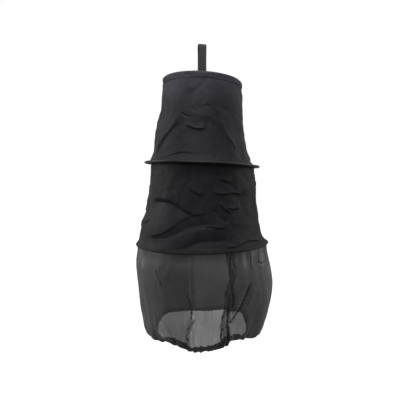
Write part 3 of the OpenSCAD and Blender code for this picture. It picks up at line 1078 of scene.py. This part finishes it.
def hem_outline(turn):
    """The gathered casing: a ruffled tube round the elastic with a loose frill below it."""
    around = np.radians(np.linspace(90, 450, 13))[:-1]
    angle = turn[None, :]
    drift = gather_drift(angle)
    ruffle = np.sin(PLEATS * angle + 2.5 * drift)
    finer = np.sin(2 * PLEATS * angle + 4 * drift + 1)
    loose = np.sin(13 * angle + 3 * drift) * np.sin(5 * angle + 2)
    tube = 3.9 * MM * np.maximum(1 + 0.24 * ruffle + 0.16 * finer + 0.22 * loose, 0.78)
    out = tube * np.cos(around)[:, None]
    up = tube * 1.25 * np.sin(around)[:, None] + 0.5 * MM * ruffle
    return out + 1.2 * MM * ruffle, up - hem_drop(np.degrees(turn))[None, :]


def elastic_outline(turn):
    around = np.radians(np.arange(0, 360, 30))[:, None]
    return (1.25 * MM * np.cos(around) + 0 * turn[None, :],
            1.25 * MM * np.sin(around) - hem_drop(np.degrees(turn))[None, :])


hem = sewn("hem_ruffle", ring_grid(mouth, hem_outline, 720), (0.9, 0.02), NET_GATHER,
           "mouth_ring", "hem_casing")
sewn("hem_elastic_cord", ring_grid(mouth, elastic_outline, 240), (0.67, 0.008), ELASTIC,
     "mouth_ring", "hem_elastic")


def felled_seam(name, wall, node, turned, half_columns, inset, rows):
    """The felled seam down the back, turned so many degrees to the left: a strip of the wall
    itself, just inside it, and its two rows of stitches outside."""
    columns = wall.shape[1]
    middle = round(turned / 360 * columns)
    near = [k % columns for k in range(middle - half_columns, middle + half_columns + 1)]
    normal = normals_of(wall)
    strip = (wall - normal * inset)[rows[0]:rows[1]][:, near]
    piece = mesh_of(name, strip, closed=False, size=(0.01, 0.18), material=SEAM, thickness=0.4 * MM)
    fit(piece, nodes=[node])
    raised = wall + normal * 0.05 * MM
    lines = [(raised[rows[0]:rows[1], k], normal[rows[0]:rows[1], k]) for k in (near[2], near[-3])]
    return piece, fit(stitches(name + "_stitch", lines, THREAD_DARK))


seams = {
    "upper": felled_seam("upper_back_seam", upper_points, "upper_seam", 0, 3, 1.1 * MM, (4, -5)),
    "middle": felled_seam("middle_back_seam", middle_points, "middle_seam", 0, 2, 1.1 * MM, (4, -5)),
    "skirt": felled_seam("skirt_back_seam", skirt_points, "skirt_seam", 10, 3, 0.5 * MM, (3, -4)),
}

for pieces, pair, top, bottom, still in (
        ((upper, *seams["upper"]), ("crown", "upper_ring"), crown_hoop, upper_hoop, 10 * MM),
        ((middle, *seams["middle"]), ("upper_ring", "lower_ring"), upper_hoop, lower_hoop, 10 * MM),
        ((skirt, *seams["skirt"]), ("lower_ring", "mouth_ring"), lower_hoop, mouth, 0)):
    for piece in pieces:
        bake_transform(piece)

for hoop in ("crown", "upper", "lower"):
    for part, material in (("_hoop", WIRE_STEEL), ("_ferrule", FERRULE)):
        mesh = frame["nodes"][hoop + part].data
        mesh.materials.clear()
        mesh.materials.append(material)

# ---- stage, light and camera

CAMERA_DISTANCE = 0.882        # from the bag's axis
CAMERA_BELOW_HOOP = 0.041      # below the upper hoop
CAMERA_LEFT = 4.6 * MM         # of the bag's axis
CAMERA_PITCH = 2.6             # degrees down
LENS = 34.2                    # mm on a 36 mm sensor
FLOOR_DROP = 0.32              # from the hem to the floor


def stage():
    s = material_shader("floor")
    grain = s.noise(s.spot(), 6.0)
    tint = s.blend(grain, (0.48, 0.48, 0.48), (0.52, 0.52, 0.52))
    surface = s.add("BsdfPrincipled", {"Base Color": tint, "Roughness": 0.9,
                                       "Emission Color": WHITE, "Emission Strength": 0.9})
    material = s.finish(surface.outputs[0])
    half, z = 12.0, cad_low.z - FLOOR_DROP
    corners = np.array([[[-half, -half, z], [half, -half, z]], [[-half, half, z], [half, half, z]]])
    floor = mesh_of("floor", corners, closed=False, material=material)
    floor.data.flip_normals()
    floor.visible_diffuse = False
    floor.visible_glossy = False

    world = bpy.data.worlds.new("studio")
    bpy.context.scene.world = world
    s = Shader(world)
    height = s.add("SeparateXYZ", {0: s.add("TexCoord").outputs["Generated"]}).outputs["Z"]
    strength = s.remap(height, -0.6, 0.9, 0.10, 0.52)
    light = s.add("Background", {"Color": WHITE, "Strength": strength}).outputs[0]
    seen = s.add("Background", {"Color": WHITE}).outputs[0]
    by_camera = s.add("LightPath").outputs["Is Camera Ray"]
    s.finish(s.add("MixShader", {0: by_camera, 1: light, 2: seen}).outputs[0], "OutputWorld")
    bpy.context.scene.view_settings.view_transform = "Standard"

    middle_z = upper_hoop.height
    for name, place_at, target_z, size, power in (
            ("key", (-0.30, -1.25, 0.35), middle_z, 0.6, 1.6),
            ("left_edge", (-1.3, 0.1, middle_z + 0.3), middle_z, 0.6, 5.0),
            ("right_edge", (1.3, 0.2, middle_z + 0.3), middle_z, 0.6, 2.6),
            ("above", (-0.05, -0.35, 0.28), crown_hoop.height, 0.3, 1.6)):
        data = bpy.data.lights.new(name, "AREA")
        data.shape = "DISK"
        data.size = size
        data.energy = power
        light = put(name, data)
        light.location = place_at
        aim = Vector((0, 0, target_z)) - light.location
        light.rotation_euler = aim.to_track_quat("-Z", "Y").to_euler()


def camera():
    data = bpy.data.cameras.new("camera")
    data.lens = LENS
    data.sensor_width = 36
    thing = put("camera", data)
    thing.location = (-CAMERA_LEFT, -CAMERA_DISTANCE, upper_hoop.height - CAMERA_BELOW_HOOP)
    thing.rotation_euler = (math.radians(90 - CAMERA_PITCH), 0, 0)
    bpy.context.scene.camera = thing


stage()
camera()
